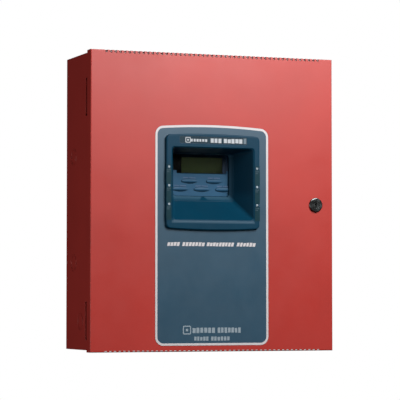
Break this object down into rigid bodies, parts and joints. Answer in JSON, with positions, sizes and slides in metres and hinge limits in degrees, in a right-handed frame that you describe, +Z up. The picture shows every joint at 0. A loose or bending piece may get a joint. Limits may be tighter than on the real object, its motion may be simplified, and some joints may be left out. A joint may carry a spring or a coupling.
{
  "type": "fire alarm control panel",
  "caption": "Wall-mounted red steel fire alarm control panel: hinged locking door, viewing hood on a character display and keys, control board, transformer and standby batteries inside.",
  "frame": {"origin": "middle of the backbox's flat back face, which lies against the wall", "axes": "+Z up, +Y into the wall, -Y out of the door towards the room, +X to the right of a person facing the door"},
  "size_m": [0.4274, 0.1423, 0.4892],
  "materials": {
    "red_enamel": "satin polyester powder coat, fire red",
    "zinc_steel": "zinc plated, dull",
    "bright_chrome": "polished nickel-chrome plate",
    "galvanised": "galvanised sheet, lightly spangled",
    "overlay_film": "printed polycarbonate film, fine texture",
    "hood_plastic": "moulded ABS, semi gloss",
    "fascia_plastic": "moulded ABS, fine texture",
    "key_plastic": "moulded ABS, satin",
    "label_plate": "gloss inlay",
    "clear_acrylic": "clear, domed ends",
    "display_glass": "reflective film behind glass",
    "display_pane": "clear pane",
    "black_steel": "black oxide",
    "backlight_white": "moulded light guide",
    "silicone_mat": "moulded silicone",
    "lamp_epoxy": "diffused epoxy",
    "board_green": "glass-epoxy laminate with solder mask",
    "terminal_plastic": "moulded polyamide",
    "black_plastic": "moulded",
    "relay_plastic": "moulded relay covers",
    "can_sleeve": "shrink sleeve over aluminium",
    "raw_aluminium": "extruded, as drawn",
    "connector_nylon": "natural polyamide",
    "fuse_glass": "glass tube with plated ends",
    "core_iron": "varnished laminations",
    "coil_tape": "polyester winding tape",
    "phenolic": "phenolic",
    "battery_abs": "moulded ABS",
    "wire_red": "pvc insulation",
    "wire_black": "pvc insulation",
    "wire_blue": "pvc insulation",
    "ribbon_grey": "flat cable",
    "brass_tab": "tinned brass"
  },
  "bodies": {
    "cabinet": {"backbox": "red_enamel", "battery_fuse": "fuse_glass", "battery_jumper": "wire_blue", "battery_lead_black": "wire_black", "battery_lead_red": "wire_red", "battery_left": "battery_abs", "battery_right": "battery_abs", "battery_tabs": "brass_tab", "board_screws": "zinc_steel", "board_spacers": "zinc_steel", "box_end_plates": "red_enamel", "box_hinge_leaves": "red_enamel", "capacitors": "can_sleeve", "chassis_plate": "galvanised", "chassis_studs_and_nuts": "zinc_steel", "display_board": "board_green", "display_fascia": "fascia_plastic", "display_ribbon": "ribbon_grey", "expansion_headers": "black_plastic", "ground_stud": "zinc_steel", "heat_sink": "raw_aluminium", "hinge_pins": "zinc_steel", "keypad_mat": "silicone_mat", "lcd_backlight": "backlight_white", "lcd_frame": "black_steel", "lcd_glass": "display_glass", "lcd_window": "display_pane", "lock_strike": "zinc_steel", "logic_chips": "black_plastic", "main_board": "board_green", "mains_terminal_block": "phenolic", "piezo_sounder": "black_plastic", "power_connectors": "connector_nylon", "power_transistors": "black_plastic", "relays": "relay_plastic", "status_lamps": "lamp_epoxy", "terminal_blocks": "terminal_plastic", "terminal_screws": "zinc_steel", "transformer_bracket": "zinc_steel", "transformer_coil": "coil_tape", "transformer_core": "core_iron", "transformer_primary_leads": "wire_black", "transformer_secondary_leads": "wire_blue"},
    "door": {"door_panel": "red_enamel", "door_hinge_leaves": "red_enamel", "front_overlay": "overlay_film", "display_bezel": "hood_plastic", "nameplate": "label_plate", "light_pipes": "clear_acrylic", "bezel_push_nuts": "zinc_steel", "lock_housing": "bright_chrome", "lock_nut": "zinc_steel"},
    "lock_core": {"lock_plug": "bright_chrome", "lock_cam": "zinc_steel", "lock_cam_screw": "zinc_steel"},
    "acknowledge_key": {"key_acknowledge": "key_plastic"},
    "silence_key": {"key_silence": "key_plastic"},
    "drill_key": {"key_drill": "key_plastic"},
    "reset_key": {"key_reset": "key_plastic"},
    "lamp_test_key": {"key_lamp_test": "key_plastic"}
  },
  "joints": [
    {"name": "door_hinge", "type": "hinge", "parent": "cabinet", "child": "door", "pos_m": [-0.2093, -0.1108, 0], "axis": [0, 0, -1], "range_deg": [0, 125]},
    {"name": "lock_turn", "type": "hinge", "parent": "door", "child": "lock_core", "pos_m": [0.1826, -0.118, -0.0013], "axis": [0, -1, 0], "range_deg": [0, 90]},
    {"name": "acknowledge_key_press", "type": "slide", "parent": "cabinet", "child": "acknowledge_key", "axis": [0, 1, 0], "range_m": [0, 0.0012], "stiffness_N_per_m": 500},
    {"name": "silence_key_press", "type": "slide", "parent": "cabinet", "child": "silence_key", "axis": [0, 1, 0], "range_m": [0, 0.0012], "stiffness_N_per_m": 500},
    {"name": "drill_key_press", "type": "slide", "parent": "cabinet", "child": "drill_key", "axis": [0, 1, 0], "range_m": [0, 0.0012], "stiffness_N_per_m": 500},
    {"name": "reset_key_press", "type": "slide", "parent": "cabinet", "child": "reset_key", "axis": [0, 1, 0], "range_m": [0, 0.0012], "stiffness_N_per_m": 500},
    {"name": "lamp_test_key_press", "type": "slide", "parent": "cabinet", "child": "lamp_test_key", "axis": [0, 1, 0], "range_m": [0, 0.0012], "stiffness_N_per_m": 500}
  ]
}
